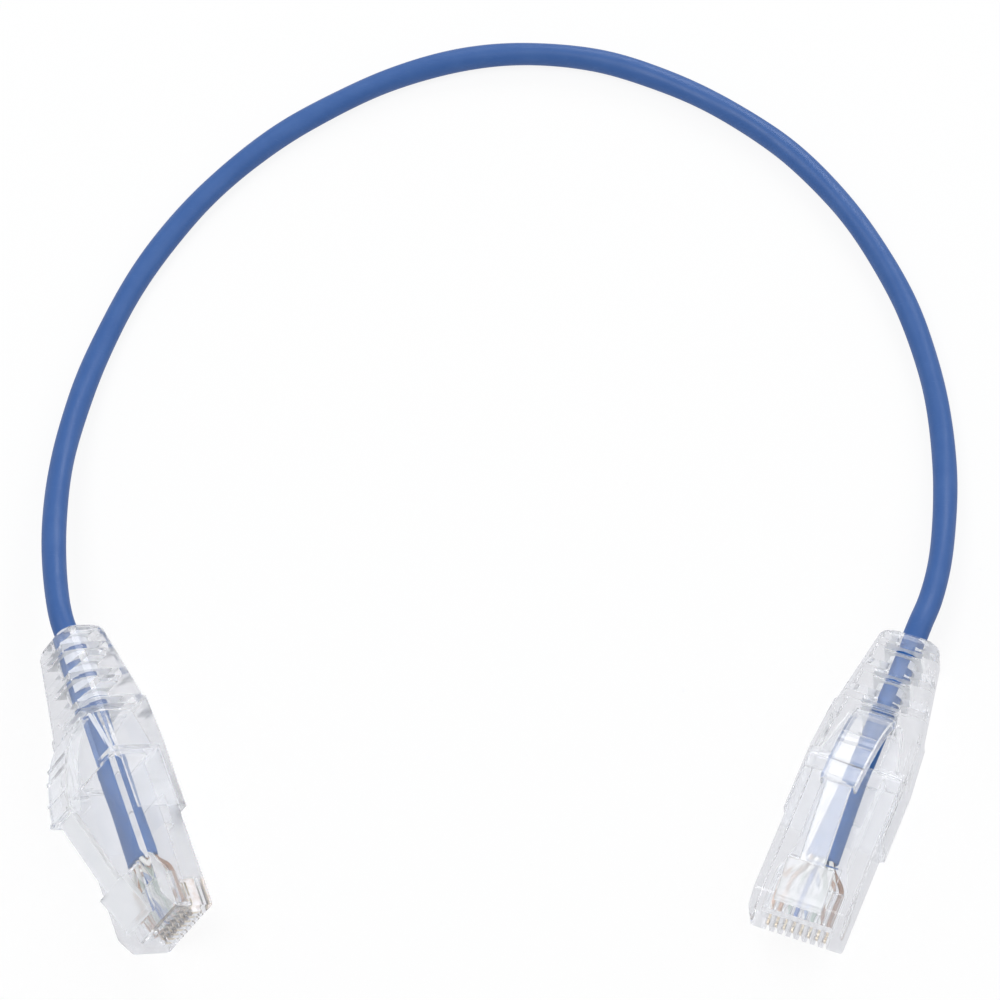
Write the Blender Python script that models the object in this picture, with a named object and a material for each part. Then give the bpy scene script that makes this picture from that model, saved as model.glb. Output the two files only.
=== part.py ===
"""Short ethernet patch cable with two clear modular plugs in slim clear boots.

Each plug is drawn in its own frame: X across the contacts, Y from the front face back
towards the cable, Z from the contact side up to the latch side, zero on the cable's axis.
Two empties set the plugs down on the table, and the cord runs between them in a loop.
Lengths are in metres; MM turns the written millimetres into metres.
"""

import math

import bmesh
import bpy
from mathutils import Matrix, Vector

MM = 0.001
SEAT_GAP = 0.3 * MM  # left between pieces that bear on each other
RUNNING_GAP = 0.1 * MM  # beside thin pieces that stand in narrow slots
OVERCUT = 1.0 * MM  # how far a cutter runs past the face it opens
ARC_STEPS = 3  # flats in a small quarter round
ROOT_STEPS = 10  # flats round the root of a bending piece
RING_CORNER_POINTS = 4  # points round each corner of a boot or hollow section
OVAL_POINTS = 12  # points round an oval section
CURVE_STEPS = 16  # fine steps between two points of the cord's route
SHARP_ANGLE = math.radians(35.0)  # edges sharper than this stay crisp or are softened

# Eight-position modular plug housing.
PLUG_WIDTH = 11.68 * MM
PLUG_HEIGHT = 6.6 * MM
PLUG_LENGTH = 21.46 * MM
NOSE_CHAMFER_LENGTH = 2.1 * MM
NOSE_CHAMFER_DROP = 1.5 * MM
HOUSING_EDGE = 0.45 * MM
HOLLOW_CORNER = 0.2 * MM
LATCH_BAY_SIDE_GAP = 0.34 * MM
LATCH_BAY_LENGTH = 7.6 * MM
LATCH_BAY_DEPTH = 0.5 * MM

# Contacts, conductors and the comb that holds them in a row.
POSITIONS = 8
PITCH = 1.02 * MM
CONTACT_THICKNESS = 0.35 * MM
CONTACT_FRONT = 0.7 * MM
CONTACT_LENGTH = 3.8 * MM
CONTACT_RECESS = 0.55 * MM
CONTACT_CORNER = 0.45 * MM
TINE_HEIGHT = 0.6 * MM
TINE_WIDTH = 0.5 * MM
TINE_SETBACK = 1.1 * MM
FRONT_SLOT_HEADROOM = 0.15 * MM
WIRE_DIAMETER = 0.6 * MM
WIRE_ROW_Z = -0.55 * MM
COMB_FRONT = 1.45 * MM
COMB_LENGTH = 4.2 * MM
COMB_WALL = 0.2 * MM
COMB_ROOF = 0.65 * MM
COMB_TOOTH_DROP = 0.2 * MM

# Cable jacket, inside the plug and free.
CORD_DIAMETER = 3.0 * MM
JACKET_FRONT = 9.2 * MM
JACKET_FLAT_WIDTH = 4.6 * MM
JACKET_FLAT_HEIGHT = 2.5 * MM
JACKET_FLAT_LENGTH = 6.3 * MM
JACKET_SWELL_LENGTH = 5.0 * MM
JACKET_SWELL_STEPS = 4  # straight runs where the flat jacket turns round again
JACKET_BAY_SIDE_GAP = 1.0 * MM
JACKET_BAY_TOP_GAP = 0.6 * MM
JACKET_BAY_FLARE = 0.5 * MM
WIRE_EXIT_PITCH = 0.8 * MM
WIRE_EXIT_RISE = 0.5 * MM
WIRE_FAN_STEPS = 5  # straight runs where the conductors fan out
WIRE_ROUND_STEPS = 1  # Blender's bevel resolution for a conductor
CRIMP_START = 12.2 * MM
CRIMP_LENGTH = 4.2 * MM
CRIMP_WIDTH = 5.2 * MM
CRIMP_SLOPE = 0.6 * MM
CRIMP_FLOOR_WALL = 0.5 * MM

# Latch: a sprung arm moulded to the nose and inclined up towards the cable.
LATCH_AXIS_Y = 1.6 * MM
LATCH_ANGLE = math.radians(18.8)
LATCH_ROOT_RADIUS = 0.42 * MM
LATCH_NECK_HALF = 0.28 * MM
LATCH_NECK_LENGTH = 1.3 * MM
LATCH_SHOULDER = 4.95 * MM
LATCH_LENGTH = 14.9 * MM
LATCH_WIDE = 5.8 * MM
LATCH_NARROW = 3.1 * MM
LATCH_WIDE_THICKNESS = 1.2 * MM
LATCH_TAB_THICKNESS = 0.85 * MM
LATCH_UNDERSIDE = 0.42 * MM

# Boot: a clear sleeve over the rear of the housing that tapers into a slotted strain relief.
BOOT_CLEARANCE = 0.14 * MM
BOOT_SIDE_WALL = 0.32 * MM
BOOT_TOP_WALL = 0.5 * MM
BOOT_BOTTOM_WALL = 0.8 * MM
BOOT_CHEEK_FRONT = 13.4 * MM
BOOT_CHEEK_TOP = 2.6 * MM
BOOT_CHEEK_RISE = 0.8 * MM
BOOT_TOP_FRONT = 20.8 * MM
BOOT_SLEEVE_END = 22.4 * MM
BOOT_SHOULDER = 29.0 * MM
BOOT_SHOULDER_WIDTH = 11.5 * MM
BOOT_SHOULDER_TOP = 3.9 * MM
BOOT_SHOULDER_BOTTOM = 4.3 * MM
BOOT_SHOULDER_STEP = 0.22 * MM
BOOT_END = 40.5 * MM
BOOT_END_WIDTH = 7.5 * MM
BOOT_END_HEIGHT = 5.6 * MM
BOOT_END_ROUND = 1.2 * MM
BOOT_TOP_CORNER = 1.5 * MM
BOOT_BOTTOM_CORNER = 0.75 * MM
BOOT_BORE_CLEARANCE = 0.3 * MM
BOOT_CHAMBER_WALL = 1.1 * MM
RELIEF_SLOTS = 6
RELIEF_FIRST_SLOT = 29.65 * MM
RELIEF_PITCH = 2.0 * MM
RELIEF_SLOT_WIDTH = 0.95 * MM
RELIEF_TOP_SLOT = 4.7 * MM
RELIEF_SIDE_SLOT = 2.5 * MM

# Boot tongue: a springy hood over the latch tab that stops it catching.
TONGUE_AXIS_Y = 27.7 * MM
TONGUE_ROOT_RADIUS = 0.5 * MM
TONGUE_REAR_WIDTH = 4.9 * MM
TONGUE_FRONT_WIDTH = 4.4 * MM
TONGUE_SIDE_WALL = 0.3 * MM
TONGUE_ROOF = 0.45 * MM
TONGUE_SIDE_DEPTH = 1.75 * MM
TONGUE_OVERHANG = 0.17 * MM  # the hood's front edge ahead of the latch's tip
TONGUE_LATCH_GAP = 0.27 * MM  # between the hood's roof and the latch's tip
TONGUE_CREST_Y = 24.8 * MM
TONGUE_CREST_Z = 7.8 * MM
TONGUE_RIDGE_WIDTH = 0.7 * MM
TONGUE_RIDGE_HEIGHT = 0.2 * MM
TONGUE_RIDGE_SPOTS = (0.50, 0.635, 0.825)
TONGUE_STEPS = 9  # straight runs along its arched roof
TONGUE_SLOT_GAP = 0.3 * MM

# Where the plugs lie: front-face centre, heading of the cable end and roll, in degrees.
PLUG_PLACES = {
    "a": {"x": -37.65 * MM, "y": -19.33 * MM, "heading": 19.1, "roll": -59.0},
    "b": {"x": 35.55 * MM, "y": -17.93 * MM, "heading": -22.2, "roll": -5.5},
}

# The cord's route from boot a to boot b, chosen by hand in millimetres: x, y and how far
# the cord hangs clear of the table there.
CORD_ROUTE = (
    (-52.7, 26.3, 5.0), (-53.4, 35.4, 3.8), (-53.0, 44.5, 2.3), (-51.5, 53.5, 1.0),
    (-49.0, 62.4, 0.1), (-45.5, 70.9, 0.0), (-40.9, 79.0, 0.0), (-35.3, 86.3, 0.0),
    (-28.7, 92.8, 0.0), (-21.2, 98.2, 0.0), (-13.1, 102.6, 0.0), (-4.4, 105.6, 0.0),
    (4.8, 106.6, 0.0), (13.9, 105.5, 0.0), (22.6, 102.3, 0.0), (30.6, 97.7, 0.0),
    (37.8, 91.9, 0.0), (43.8, 84.9, 0.0), (48.6, 77.0, 0.0), (52.3, 68.5, 0.0),
    (54.7, 59.6, 0.0), (55.9, 50.5, 0.1), (55.9, 41.2, 0.8), (54.9, 32.1, 1.9),
    (53.3, 25.7, 2.6),
)
CORD_TABLE_GAP = 0.02 * MM
CORD_LEAD = 2.5 * MM  # straight run out of each boot
CORD_STEP = 2.4  # spacing of the cord's points, in diameters
CORD_ROUND_STEPS = 2  # Blender bevel resolution for the cord

CLEAR_HOUSING = ("clear_housing", (0.86, 0.88, 0.91), 0.06, 0.0, 0.9)
CLEAR_BOOT = ("clear_boot", (0.84, 0.86, 0.90), 0.16, 0.0, 0.85)
GOLD_PLATE = ("gold_plate", (0.83, 0.62, 0.30), 0.25, 1.0, 0.0)
BLUE_JACKET = ("blue_jacket", (0.06, 0.15, 0.40), 0.5, 0.0, 0.0)
WIRE_FINISHES = (
    ("wire_white_orange", (0.86, 0.74, 0.62), 0.45, 0.0, 0.0),
    ("wire_orange", (0.78, 0.33, 0.08), 0.45, 0.0, 0.0),
    ("wire_white_green", (0.70, 0.80, 0.70), 0.45, 0.0, 0.0),
    ("wire_blue", (0.08, 0.20, 0.55), 0.45, 0.0, 0.0),
    ("wire_white_blue", (0.66, 0.72, 0.84), 0.45, 0.0, 0.0),
    ("wire_green", (0.10, 0.42, 0.18), 0.45, 0.0, 0.0),
    ("wire_white_brown", (0.74, 0.64, 0.56), 0.45, 0.0, 0.0),
    ("wire_brown", (0.36, 0.19, 0.10), 0.45, 0.0, 0.0),
)


def clear_scene():
    """Removes whatever the file holds."""
    for obj in list(bpy.data.objects):
        bpy.data.objects.remove(obj, do_unlink=True)


def make_material(finish):
    """The Principled material of one finish, made once."""
    name, colour, roughness, metallic, transmission = finish
    material = bpy.data.materials.get(name)
    if material is None:
        material = bpy.data.materials.new(name)
        material.use_nodes = True
        shader = material.node_tree.nodes["Principled BSDF"]
        shader.inputs["Base Color"].default_value = (*colour, 1.0)
        shader.inputs["Roughness"].default_value = roughness
        shader.inputs["Metallic"].default_value = metallic
        shader.inputs["Transmission Weight"].default_value = transmission
        material.diffuse_color = (*colour, 1.0)
    return material


def place_object(name, data, finish, parent, spot=(0.0, 0.0, 0.0)):
    """Links an object with this data at a spot in its parent's frame."""
    data.materials.append(make_material(finish))
    obj = bpy.data.objects.new(name, data)
    bpy.context.scene.collection.objects.link(obj)
    obj.parent = parent
    obj.location = spot
    return obj


def mesh_from(name, bm, spot=(0.0, 0.0, 0.0)):
    """Turns a bmesh into a mesh whose zero is at the spot, with its faces looking out."""
    bmesh.ops.translate(bm, verts=bm.verts, vec=-Vector(spot))
    bmesh.ops.recalc_face_normals(bm, faces=bm.faces)
    mesh = bpy.data.meshes.new(name)
    bm.to_mesh(mesh)
    bm.free()
    return mesh


def solid(name, bm, finish, parent, spot=(0.0, 0.0, 0.0), smooth=False):
    """A named piece with its origin at the spot."""
    mesh = mesh_from(name, bm, spot)
    if smooth:
        mesh.shade_smooth()
        mesh.set_sharp_from_angle(angle=SHARP_ANGLE)
    return place_object(name, mesh, finish, parent, spot)


def prism(outline, low, high, axis="X"):
    """A flat outline pushed from low to high along an axis.

    The outline is (y, z) along X, and (x, z) along Y.
    """
    bm = bmesh.new()
    if axis == "X":
        corners = [bm.verts.new((low, y, z)) for y, z in outline]
        push = Vector((high - low, 0.0, 0.0))
    else:
        corners = [bm.verts.new((x, low, z)) for x, z in outline]
        push = Vector((0.0, high - low, 0.0))
    face = bm.faces.new(corners)
    grown = bmesh.ops.extrude_face_region(bm, geom=[face])
    moved = [item for item in grown["geom"] if isinstance(item, bmesh.types.BMVert)]
    bmesh.ops.translate(bm, verts=moved, vec=push)
    return bm


def block(x_range, y_range, z_range):
    """A block between three pairs of limits."""
    (y0, y1), (z0, z1) = y_range, z_range
    return prism([(y0, z0), (y1, z0), (y1, z1), (y0, z1)], *x_range)


def loft(rings):
    """A closed skin over rings of equal count, with a cap on each end."""
    bm = bmesh.new()
    loops = [[bm.verts.new(point) for point in ring] for ring in rings]
    count = len(loops[0])
    for near, far in zip(loops, loops[1:]):
        for i in range(count):
            j = (i + 1) % count
            bm.faces.new((near[i], near[j], far[j], far[i]))
    bm.faces.new(loops[0])
    bm.faces.new(loops[-1])
    return bm


def join(*parts):
    """Several bmeshes in one, still separate shells."""
    whole = bmesh.new()
    for part in parts:
        mesh = mesh_from("part", part)
        whole.from_mesh(mesh)
        bpy.data.meshes.remove(mesh)
    return whole


def rounded_ring(y, half_width, top, bottom, corner, low_corner=None, arc_points=RING_CORNER_POINTS):
    """A rounded rectangle across the plug at y, with its lower corners the same unless given."""
    low = corner if low_corner is None else low_corner
    corners = ((1, top, corner), (-1, top, corner), (-1, -bottom, low), (1, -bottom, low))
    ring = []
    for turn, (side, level, radius) in enumerate(corners):
        centre_x = side * (half_width - radius)
        centre_z = level - math.copysign(radius, level)
        for step in range(arc_points):
            angle = math.radians(90.0) * (turn + step / (arc_points - 1))
            ring.append((centre_x + radius * math.cos(angle), y, centre_z + radius * math.sin(angle)))
    return ring


def oval_ring(y, half_width, half_height, points=OVAL_POINTS):
    """An oval across the plug."""
    angles = [math.tau * i / points for i in range(points)]
    return [(half_width * math.cos(a), y, half_height * math.sin(a)) for a in angles]


def change(obj, other, operation):
    """Cuts or joins another object into this one, and hides the other as a guide."""
    other.hide_render = True
    other.display_type = "WIRE"
    modifier = obj.modifiers.new(operation.title(), "BOOLEAN")
    modifier.operation = operation
    modifier.solver = "EXACT"
    modifier.object = other


def cut(obj, name, bm):
    """Takes a shape away from a piece, with its origin and parent shared."""
    tool = solid(name, bm, CLEAR_HOUSING, obj.parent, obj.location)
    change(obj, tool, "DIFFERENCE")


def add(obj, name, bm):
    """Joins a shape to a piece, with its origin and parent shared."""
    tool = solid(name, bm, CLEAR_HOUSING, obj.parent, obj.location)
    change(obj, tool, "UNION")


def soften(obj, width, segments=1):
    """Breaks a piece's sharp edges."""
    modifier = obj.modifiers.new("Soften", "BEVEL")
    modifier.width = width
    modifier.segments = segments
    modifier.limit_method = "ANGLE"
    modifier.angle_limit = SHARP_ANGLE


def contact_x(index):
    """Where contact number index, from 0, stands across the plug."""
    return (index - (POSITIONS - 1) / 2) * PITCH


def latch_axis():
    """The latch's bending line, just above the floor of its bay in the nose."""
    floor = PLUG_HEIGHT / 2 - LATCH_BAY_DEPTH
    return Vector((0.0, LATCH_AXIS_Y, floor + LATCH_ROOT_RADIUS + SEAT_GAP))


def tongue_axis():
    """The tongue's bending line, level with the top wall of the boot."""
    return Vector((0.0, TONGUE_AXIS_Y, BOOT_SHOULDER_TOP - TONGUE_ROOT_RADIUS))


def wire_floor():
    """Underside of the conductors' row."""
    return WIRE_ROW_Z - WIRE_DIAMETER / 2


def comb_half_width():
    """Half the comb: the row, the outer grooves' gaps and the end walls."""
    return contact_x(POSITIONS - 1) + WIRE_DIAMETER / 2 + RUNNING_GAP + COMB_WALL


def comb_rear():
    """Rear face of the comb."""
    return COMB_FRONT + COMB_LENGTH


def inner_hollow():
    """The housing's inner hollow: comb channel, fan-out and jacket bay, open at the rear."""
    half = comb_half_width() + SEAT_GAP
    roof = COMB_ROOF + SEAT_GAP
    floor = SEAT_GAP / 2 - wire_floor()
    bay_half = JACKET_FLAT_WIDTH / 2 + JACKET_BAY_SIDE_GAP
    bay_top = JACKET_FLAT_HEIGHT / 2 + JACKET_BAY_TOP_GAP
    corner = HOLLOW_CORNER
    flare = JACKET_BAY_FLARE
    mouth = PLUG_LENGTH - 2 * flare
    past = PLUG_LENGTH + OVERCUT
    spread = flare * (past - mouth) / (PLUG_LENGTH - mouth)
    return loft([
        rounded_ring(COMB_FRONT - SEAT_GAP, half, roof, floor, corner),
        rounded_ring(comb_rear() + SEAT_GAP, half, roof, floor, corner),
        rounded_ring(JACKET_FRONT, bay_half, bay_top, bay_top, corner),
        rounded_ring(mouth, bay_half, bay_top, bay_top, corner),
        rounded_ring(past, bay_half + spread, bay_top + spread, bay_top + spread, corner),
    ])


def contact_slots():
    """Eight narrow slots from the contact side up into the comb channel, open at the front."""
    below = -PLUG_HEIGHT / 2 - OVERCUT
    lintel = wire_floor() - RUNNING_GAP - TINE_HEIGHT + FRONT_SLOT_HEADROOM
    step = COMB_FRONT - SEAT_GAP + RUNNING_GAP
    rear = CONTACT_FRONT + CONTACT_LENGTH + RUNNING_GAP
    outline = [
        (-OVERCUT, below), (rear, below), (rear, wire_floor()),
        (step, wire_floor()), (step, lintel), (-OVERCUT, lintel),
    ]
    half = CONTACT_THICKNESS / 2 + RUNNING_GAP
    centres = [contact_x(i) for i in range(POSITIONS)]
    return join(*[prism(outline, x - half, x + half) for x in centres])


def crimp_pocket():
    """The pocket on the contact side where the cable clamp is pressed in."""
    face = -PLUG_HEIGHT / 2
    floor = -(JACKET_FLAT_HEIGHT / 2 + JACKET_BAY_TOP_GAP + CRIMP_FLOOR_WALL)
    drift = CRIMP_SLOPE * OVERCUT / (floor - face)
    return loft([
        [
            (side * (CRIMP_WIDTH / 2 - inset), end, level)
            for side, end in (
                (-1, CRIMP_START + inset), (1, CRIMP_START + inset),
                (1, CRIMP_START + CRIMP_LENGTH - inset), (-1, CRIMP_START + CRIMP_LENGTH - inset),
            )
        ]
        for level, inset in ((face - OVERCUT, -drift), (floor, CRIMP_SLOPE))
    ])


def build_housing(tag, parent):
    """The clear plug body with its slots, hollow, latch bay and crimp pocket."""
    half_height = PLUG_HEIGHT / 2
    outline = [
        (0.0, -half_height), (PLUG_LENGTH, -half_height), (PLUG_LENGTH, half_height),
        (NOSE_CHAMFER_LENGTH, half_height), (0.0, half_height - NOSE_CHAMFER_DROP),
    ]
    body = prism(outline, -PLUG_WIDTH / 2, PLUG_WIDTH / 2)
    housing = solid(f"housing_{tag}", body, CLEAR_HOUSING, parent)
    soften(housing, HOUSING_EDGE, 2)
    bay_half = LATCH_WIDE / 2 + LATCH_BAY_SIDE_GAP
    bay_floor = half_height - LATCH_BAY_DEPTH
    bay = block((-bay_half, bay_half), (-OVERCUT, LATCH_BAY_LENGTH), (bay_floor, half_height + OVERCUT))
    cut(housing, f"latch_bay_cutter_{tag}", bay)
    cut(housing, f"hollow_cutter_{tag}", inner_hollow())
    cut(housing, f"slot_cutter_{tag}", contact_slots())
    cut(housing, f"crimp_cutter_{tag}", crimp_pocket())
    return housing


def latch_outline():
    """Side view of the latch along its own length: neck, ramped head, shoulder and tab."""
    bottom = -LATCH_UNDERSIDE
    head = bottom + LATCH_WIDE_THICKNESS
    tab = bottom + LATCH_TAB_THICKNESS
    start = math.asin(LATCH_NECK_HALF / LATCH_ROOT_RADIUS)
    sweep = math.tau - 2 * start
    angles = [start + sweep * step / ROOT_STEPS for step in range(ROOT_STEPS + 1)]
    root = [(LATCH_ROOT_RADIUS * math.cos(a), LATCH_ROOT_RADIUS * math.sin(a)) for a in angles]
    return root + [
        (LATCH_NECK_LENGTH, -LATCH_NECK_HALF), (LATCH_NECK_LENGTH + LATCH_NECK_HALF, bottom),
        (LATCH_LENGTH, bottom), (LATCH_LENGTH, tab), (LATCH_SHOULDER, tab),
        (LATCH_SHOULDER, head), (LATCH_NECK_LENGTH, LATCH_NECK_HALF),
    ]


def build_latch(tag, parent):
    """The sprung latch: wide locking head in front, narrow release tab behind."""
    outline = latch_outline()
    arm = prism(outline, -LATCH_WIDE / 2, LATCH_WIDE / 2)
    turn = Matrix.Rotation(LATCH_ANGLE, 3, "X")
    axis = latch_axis()
    bmesh.ops.rotate(arm, verts=arm.verts, matrix=turn, cent=(0.0, 0.0, 0.0))
    bmesh.ops.translate(arm, verts=arm.verts, vec=axis)
    latch = solid(f"latch_{tag}", arm, CLEAR_HOUSING, parent, axis)
    reach = (LATCH_SHOULDER, LATCH_LENGTH + OVERCUT)
    sides = []
    for side in (-1, 1):
        limits = sorted((side * LATCH_NARROW / 2, side * (LATCH_WIDE / 2 + OVERCUT)))
        waste = block(limits, reach, (-PLUG_HEIGHT, PLUG_HEIGHT))
        bmesh.ops.rotate(waste, verts=waste.verts, matrix=turn, cent=(0.0, 0.0, 0.0))
        bmesh.ops.translate(waste, verts=waste.verts, vec=axis)
        sides.append(waste)
    cut(latch, f"latch_side_cutter_{tag}", join(*sides))
    return latch


def contact_outline():
    """Side view of a contact: rounded mating edge below, two piercing tines above."""
    bottom = CONTACT_RECESS - PLUG_HEIGHT / 2
    tip = wire_floor() - RUNNING_GAP
    shoulder = tip - TINE_HEIGHT
    front, rear = CONTACT_FRONT, CONTACT_FRONT + CONTACT_LENGTH
    round_front = [
        (front + CONTACT_CORNER * (1 - math.sin(a)), bottom + CONTACT_CORNER * (1 - math.cos(a)))
        for a in (math.radians(90.0) * (1 - step / ARC_STEPS) for step in range(ARC_STEPS + 1))
    ]
    tines = []
    for peak in (rear - TINE_WIDTH / 2, front + TINE_SETBACK + TINE_WIDTH / 2):
        tines += [
            (peak + TINE_WIDTH / 2, shoulder), (peak + RUNNING_GAP / 2, tip),
            (peak - RUNNING_GAP / 2, tip), (peak - TINE_WIDTH / 2, shoulder),
        ]
    return round_front + [(rear, bottom)] + tines + [(front, shoulder)]


def build_contacts(tag, parent):
    """Eight gold-plated blades on edge in their slots."""
    outline = contact_outline()
    half = CONTACT_THICKNESS / 2
    for i in range(POSITIONS):
        x = contact_x(i)
        solid(f"contact_{tag}{i + 1}", prism(outline, x - half, x + half), GOLD_PLATE, parent)


def build_comb(tag, parent):
    """The clear comb that keeps the eight conductors in a row, grooves towards the contacts."""
    half = comb_half_width()
    groove = WIRE_DIAMETER / 2 + RUNNING_GAP
    ceiling = WIRE_ROW_Z + groove
    foot = WIRE_ROW_Z - COMB_TOOTH_DROP
    outline = [(half, foot), (half, COMB_ROOF), (-half, COMB_ROOF), (-half, foot)]
    for i in range(POSITIONS):
        x = contact_x(i)
        outline += [(x - groove, foot), (x - groove, ceiling), (x + groove, ceiling), (x + groove, foot)]
    comb = prism(outline, COMB_FRONT, comb_rear(), "Y")
    return solid(f"wire_comb_{tag}", comb, CLEAR_HOUSING, parent)


def tube(name, points, diameter, finish, parent, rounds):
    """A round tube along points, with filled ends."""
    curve = bpy.data.curves.new(name, "CURVE")
    curve.dimensions = "3D"
    spline = curve.splines.new("POLY")
    spline.points.add(len(points) - 1)
    for point, spot in zip(spline.points, points):
        point.co = (*spot, 1.0)
    spline.use_smooth = True
    curve.bevel_depth = diameter / 2
    curve.bevel_resolution = rounds
    curve.use_fill_caps = True
    return place_object(name, curve, finish, parent)


def eased(steps):
    """Equal shares from 0 to 1, each with the same share slowed at both ends."""
    shares = [step / steps for step in range(steps + 1)]
    return [(t, t * t * (3 - 2 * t)) for t in shares]


def wire_points(index):
    """A conductor's path: straight through the comb, then in to its place in the jacket."""
    row = contact_x(index)
    pair, member = divmod(index, 2)
    exit_x = (pair - (POSITIONS / 2 - 1) / 2) * WIRE_EXIT_PITCH
    exit_z = WIRE_EXIT_RISE * (1 - 2 * member)
    start = comb_rear() + SEAT_GAP
    run = JACKET_FRONT - SEAT_GAP - start
    points = [(row, COMB_FRONT + SEAT_GAP, WIRE_ROW_Z)]
    for t, ease in eased(WIRE_FAN_STEPS):
        x = row + (exit_x - row) * ease
        z = WIRE_ROW_Z + (exit_z - WIRE_ROW_Z) * ease
        points.append((x, start + run * t, z))
    return points


def build_wires(tag, parent):
    """Eight insulated conductors from the jacket's end to the contacts."""
    for i, finish in enumerate(WIRE_FINISHES):
        tube(f"wire_{tag}{i + 1}", wire_points(i), WIRE_DIAMETER, finish, parent, WIRE_ROUND_STEPS)


def build_jacket_end(tag, parent):
    """The jacket inside boot and housing, pressed flat at the crimp and round behind it."""
    radius = CORD_DIAMETER / 2
    flat_end = JACKET_FRONT + JACKET_FLAT_LENGTH
    half_width, half_height = JACKET_FLAT_WIDTH / 2, JACKET_FLAT_HEIGHT / 2
    rings = [oval_ring(JACKET_FRONT, half_width, half_height)]
    for t, ease in eased(JACKET_SWELL_STEPS):
        rings.append(oval_ring(
            flat_end + JACKET_SWELL_LENGTH * t,
            half_width + (radius - half_width) * ease,
            half_height + (radius - half_height) * ease,
        ))
    rings.append(oval_ring(BOOT_END, radius, radius))
    return solid(f"jacket_end_{tag}", loft(rings), BLUE_JACKET, parent, smooth=True)


def boot_ring(y, half_width, top, bottom):
    """A section of the boot's skin, rounder on the latch side."""
    return rounded_ring(y, half_width, top, bottom, BOOT_TOP_CORNER, BOOT_BOTTOM_CORNER)


def boot_sleeve():
    """Half width, top and bottom of the boot where it wraps the housing."""
    half_height = PLUG_HEIGHT / 2 + BOOT_CLEARANCE
    return (
        PLUG_WIDTH / 2 + BOOT_CLEARANCE + BOOT_SIDE_WALL,
        half_height + BOOT_TOP_WALL,
        half_height + BOOT_BOTTOM_WALL,
    )


def boot_shoulder():
    """Half width, top and bottom of the boot where the sleeve gives way to the relief."""
    return BOOT_SHOULDER_WIDTH / 2, BOOT_SHOULDER_TOP, BOOT_SHOULDER_BOTTOM


def boot_relief(y):
    """Half width, top and bottom of the tapering strain relief at y."""
    t = (y - BOOT_SHOULDER) / (BOOT_END - BOOT_SHOULDER)
    start = [value - BOOT_SHOULDER_STEP for value in boot_shoulder()]
    end = (BOOT_END_WIDTH / 2, BOOT_END_HEIGHT / 2, BOOT_END_HEIGHT / 2)
    return tuple(a + (b - a) * t for a, b in zip(start, end))


def boot_skin():
    """The boot's outer form from the cheeks to the rounded cable end."""
    sleeve = boot_sleeve()
    rings = [
        boot_ring(BOOT_CHEEK_FRONT, *sleeve),
        boot_ring(BOOT_SLEEVE_END, *sleeve),
        boot_ring(BOOT_SHOULDER - BOOT_SHOULDER_STEP, *boot_shoulder()),
        boot_ring(BOOT_SHOULDER, *boot_relief(BOOT_SHOULDER)),
    ]
    round_start = BOOT_END - BOOT_END_ROUND
    for step in range(ARC_STEPS + 1):
        angle = math.radians(90.0) * step / ARC_STEPS
        y = round_start + BOOT_END_ROUND * math.sin(angle)
        shrink = BOOT_END_ROUND * (1 - math.cos(angle))
        size = [value - shrink for value in boot_relief(y)]
        rings.append(boot_ring(y, *size))
    return loft(rings)


def boot_pocket():
    """The pocket that slips over the rear of the housing, with corners to match its edges."""
    half = PLUG_WIDTH / 2 + BOOT_CLEARANCE
    height = PLUG_HEIGHT / 2 + BOOT_CLEARANCE
    corner = HOUSING_EDGE + BOOT_CLEARANCE
    ends = (BOOT_CHEEK_FRONT - OVERCUT, PLUG_LENGTH + SEAT_GAP)
    return loft([rounded_ring(y, half, height, height, corner) for y in ends])


def boot_hollow():
    """The bore for the cable, opening into a chamber behind the housing."""
    bore = CORD_DIAMETER / 2 + BOOT_BORE_CLEARANCE
    corner = bore - RUNNING_GAP
    chamber_start = PLUG_LENGTH
    chamber_end = TONGUE_AXIS_Y
    throat = BOOT_SHOULDER + BOOT_SHOULDER_STEP
    side, top, bottom = (value - BOOT_CHAMBER_WALL for value in boot_sleeve())
    end_side = BOOT_SHOULDER_WIDTH / 2 - 2 * BOOT_CHAMBER_WALL
    end_top = BOOT_SHOULDER_TOP - BOOT_CHAMBER_WALL
    return loft([
        rounded_ring(chamber_start, side, top, bottom, BOOT_BOTTOM_CORNER),
        rounded_ring(chamber_end, end_side, end_top, end_top, BOOT_BOTTOM_CORNER),
        rounded_ring(throat, bore, bore, bore, corner),
        rounded_ring(BOOT_END + OVERCUT, bore, bore, bore, corner),
    ])


def relief_windows(first):
    """Every second window of the strain relief: across top and bottom, or across the sides."""
    half = RELIEF_SLOT_WIDTH / 2
    reach = boot_sleeve()[0] + OVERCUT
    windows = []
    for i in range(first, RELIEF_SLOTS, 2):
        y = RELIEF_FIRST_SLOT + i * RELIEF_PITCH
        if first == 0:
            across, tall = RELIEF_TOP_SLOT / 2, reach
        else:
            across, tall = reach, RELIEF_SIDE_SLOT / 2
        windows.append(block((-across, across), (y - half, y + half), (-tall, tall)))
    return join(*windows)


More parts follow.
